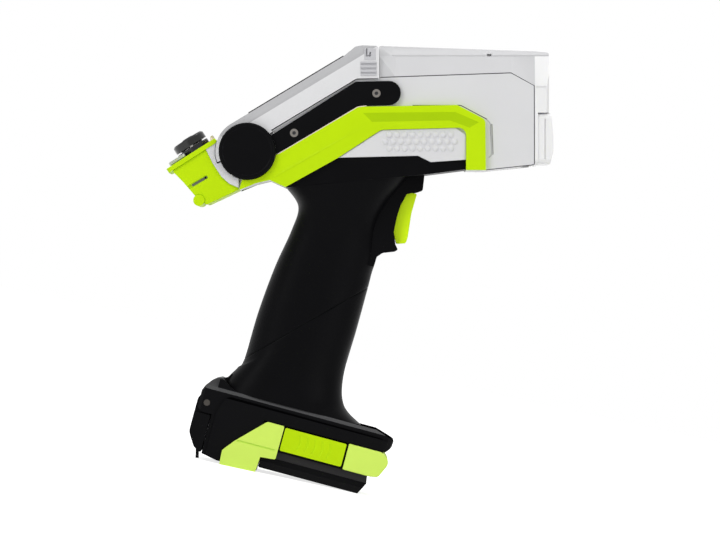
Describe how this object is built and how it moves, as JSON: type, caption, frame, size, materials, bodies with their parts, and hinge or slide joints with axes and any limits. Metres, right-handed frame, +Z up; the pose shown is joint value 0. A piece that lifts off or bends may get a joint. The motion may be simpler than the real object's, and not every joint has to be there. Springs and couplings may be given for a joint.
{
  "type": "handheld xrf analyzer",
  "caption": "Pistol-grip handheld X-ray fluorescence analyzer with a tilting display, a keypad tail, a trigger and a slide-in battery foot.",
  "frame": {"origin": "centre of the bounding box in plan, on the table the foot stands on", "axes": "+X the way the nose points, +Z up, +Y to the left seen from behind"},
  "size_m": [0.1948, 0.066, 0.2459],
  "materials": {
    "white_plastic": "fine satin texture",
    "grey_plastic": "satin",
    "lime_plastic": "satin",
    "pale_lime_plastic": "satin",
    "soft_black": "soft touch",
    "black_plastic": "fine texture",
    "gloss_black": "gloss",
    "cover_glass": "polished, dark",
    "lcd": "smooth",
    "clear_lens": "clear",
    "film": "thin amber film",
    "steel": "machined",
    "aluminium": "machined",
    "board": "solder mask",
    "contact": "plated",
    "ceramic": "glazed",
    "cell_wrap": "shrink wrap"
  },
  "bodies": {
    "housing": {"right_shell": "white_plastic", "left_shell": "white_plastic", "top_cover": "white_plastic", "top_rail": "grey_plastic", "nose_cap": "white_plastic", "window_bracket": "grey_plastic", "window_film": "film", "window_screws": "steel", "side_bumpers": "lime_plastic", "finger_panels": "white_plastic", "side_rails": "black_plastic", "rail_screws": "steel", "tail_housing": "lime_plastic", "strap_pin": "lime_plastic", "keypad_plate": "lime_plastic", "keypad_board": "board", "warning_lens": "clear_lens", "nav_bezel": "gloss_black", "hinge_cradle": "white_plastic", "hinge_barrel": "grey_plastic", "hinge_pin": "steel", "grip_flange": "soft_black", "handle_upper": "soft_black", "handle_lower": "soft_black", "trigger_guard": "black_plastic", "trigger_pin": "steel", "trigger_switch": "gloss_black", "base_housing": "black_plastic", "door_pin": "steel", "rear_feet": "pale_lime_plastic", "port_block": "grey_plastic", "chassis": "aluminium", "circuit_boards": "board", "heat_sink": "aluminium", "hv_supply": "black_plastic", "xray_tube": "ceramic", "tube_shield": "steel", "detector": "steel", "camera_module": "gloss_black", "filter_motor": "steel"},
    "display": {"lid_frame": "white_plastic", "lid_back": "white_plastic", "lcd_panel": "lcd", "display_glass": "cover_glass", "hinge_caps": "gloss_black", "lid_grips": "grey_plastic"},
    "nav_pivot": {"nav_pivot": "steel"},
    "nav_pad": {"nav_pad": "gloss_black"},
    "nav_select": {"nav_select": "grey_plastic"},
    "power_key": {"power_key": "grey_plastic"},
    "back_key": {"back_key": "grey_plastic"},
    "trigger": {"trigger": "lime_plastic"},
    "filter_wheel": {"filter_wheel": "aluminium"},
    "battery": {"battery_case": "black_plastic", "battery_cells": "cell_wrap", "battery_contacts": "contact", "battery_bumper": "pale_lime_plastic"},
    "right_release": {"right_release": "lime_plastic"},
    "left_release": {"left_release": "lime_plastic"},
    "port_door": {"port_door": "gloss_black"}
  },
  "joints": [
    {"name": "display_tilt", "type": "hinge", "parent": "housing", "child": "display", "pos_m": [-0.05825, 0, 0.1621], "axis": [0, -1, 0], "range_deg": [0, 50]},
    {"name": "nav_rock_fore", "type": "hinge", "parent": "housing", "child": "nav_pivot", "pos_m": [-0.08772, 0, 0.15877], "axis": [0, 1, 0], "range_deg": [-3, 3], "stiffness_Nm_per_rad": 0.1},
    {"name": "nav_rock_side", "type": "hinge", "parent": "nav_pivot", "child": "nav_pad", "pos_m": [-0.08772, 0, 0.15877], "axis": [0.7096, 0, 0.7046], "range_deg": [-3, 3], "stiffness_Nm_per_rad": 0.1},
    {"name": "nav_select_press", "type": "slide", "parent": "nav_pad", "child": "nav_select", "axis": [0.7046, 0, -0.7096], "range_m": [0, 0.0006], "stiffness_N_per_m": 1500},
    {"name": "power_key_press", "type": "slide", "parent": "housing", "child": "power_key", "axis": [0.7046, 0, -0.7096], "range_m": [0, 0.0006], "stiffness_N_per_m": 1500},
    {"name": "back_key_press", "type": "slide", "parent": "housing", "child": "back_key", "axis": [0.7046, 0, -0.7096], "range_m": [0, 0.0006], "stiffness_N_per_m": 1500},
    {"name": "trigger_pull", "type": "hinge", "parent": "housing", "child": "trigger", "pos_m": [0.02397, 0, 0.16063], "axis": [0, 1, 0], "range_deg": [0, 8], "stiffness_Nm_per_rad": 0.8, "springref_deg": -2.29},
    {"name": "filter_wheel_turn", "type": "hinge", "parent": "housing", "child": "filter_wheel", "pos_m": [0.08004, -0.0081, 0.20945], "axis": [0.977, 0, 0.213], "continuous": true},
    {"name": "battery_slide", "type": "slide", "parent": "housing", "child": "battery", "axis": [0.9989, 0, -0.0471], "range_m": [0, 0.05]},
    {"name": "right_release_press", "type": "slide", "parent": "battery", "child": "right_release", "axis": [0, 1, 0], "range_m": [0, 0.002], "stiffness_N_per_m": 2000},
    {"name": "left_release_press", "type": "slide", "parent": "battery", "child": "left_release", "axis": [0, -1, 0], "range_m": [0, 0.002], "stiffness_N_per_m": 2000},
    {"name": "port_door_swing", "type": "hinge", "parent": "housing", "child": "port_door", "pos_m": [-0.05098, 0, 0.02981], "axis": [0, 1, 0], "range_deg": [0, 90]}
  ]
}
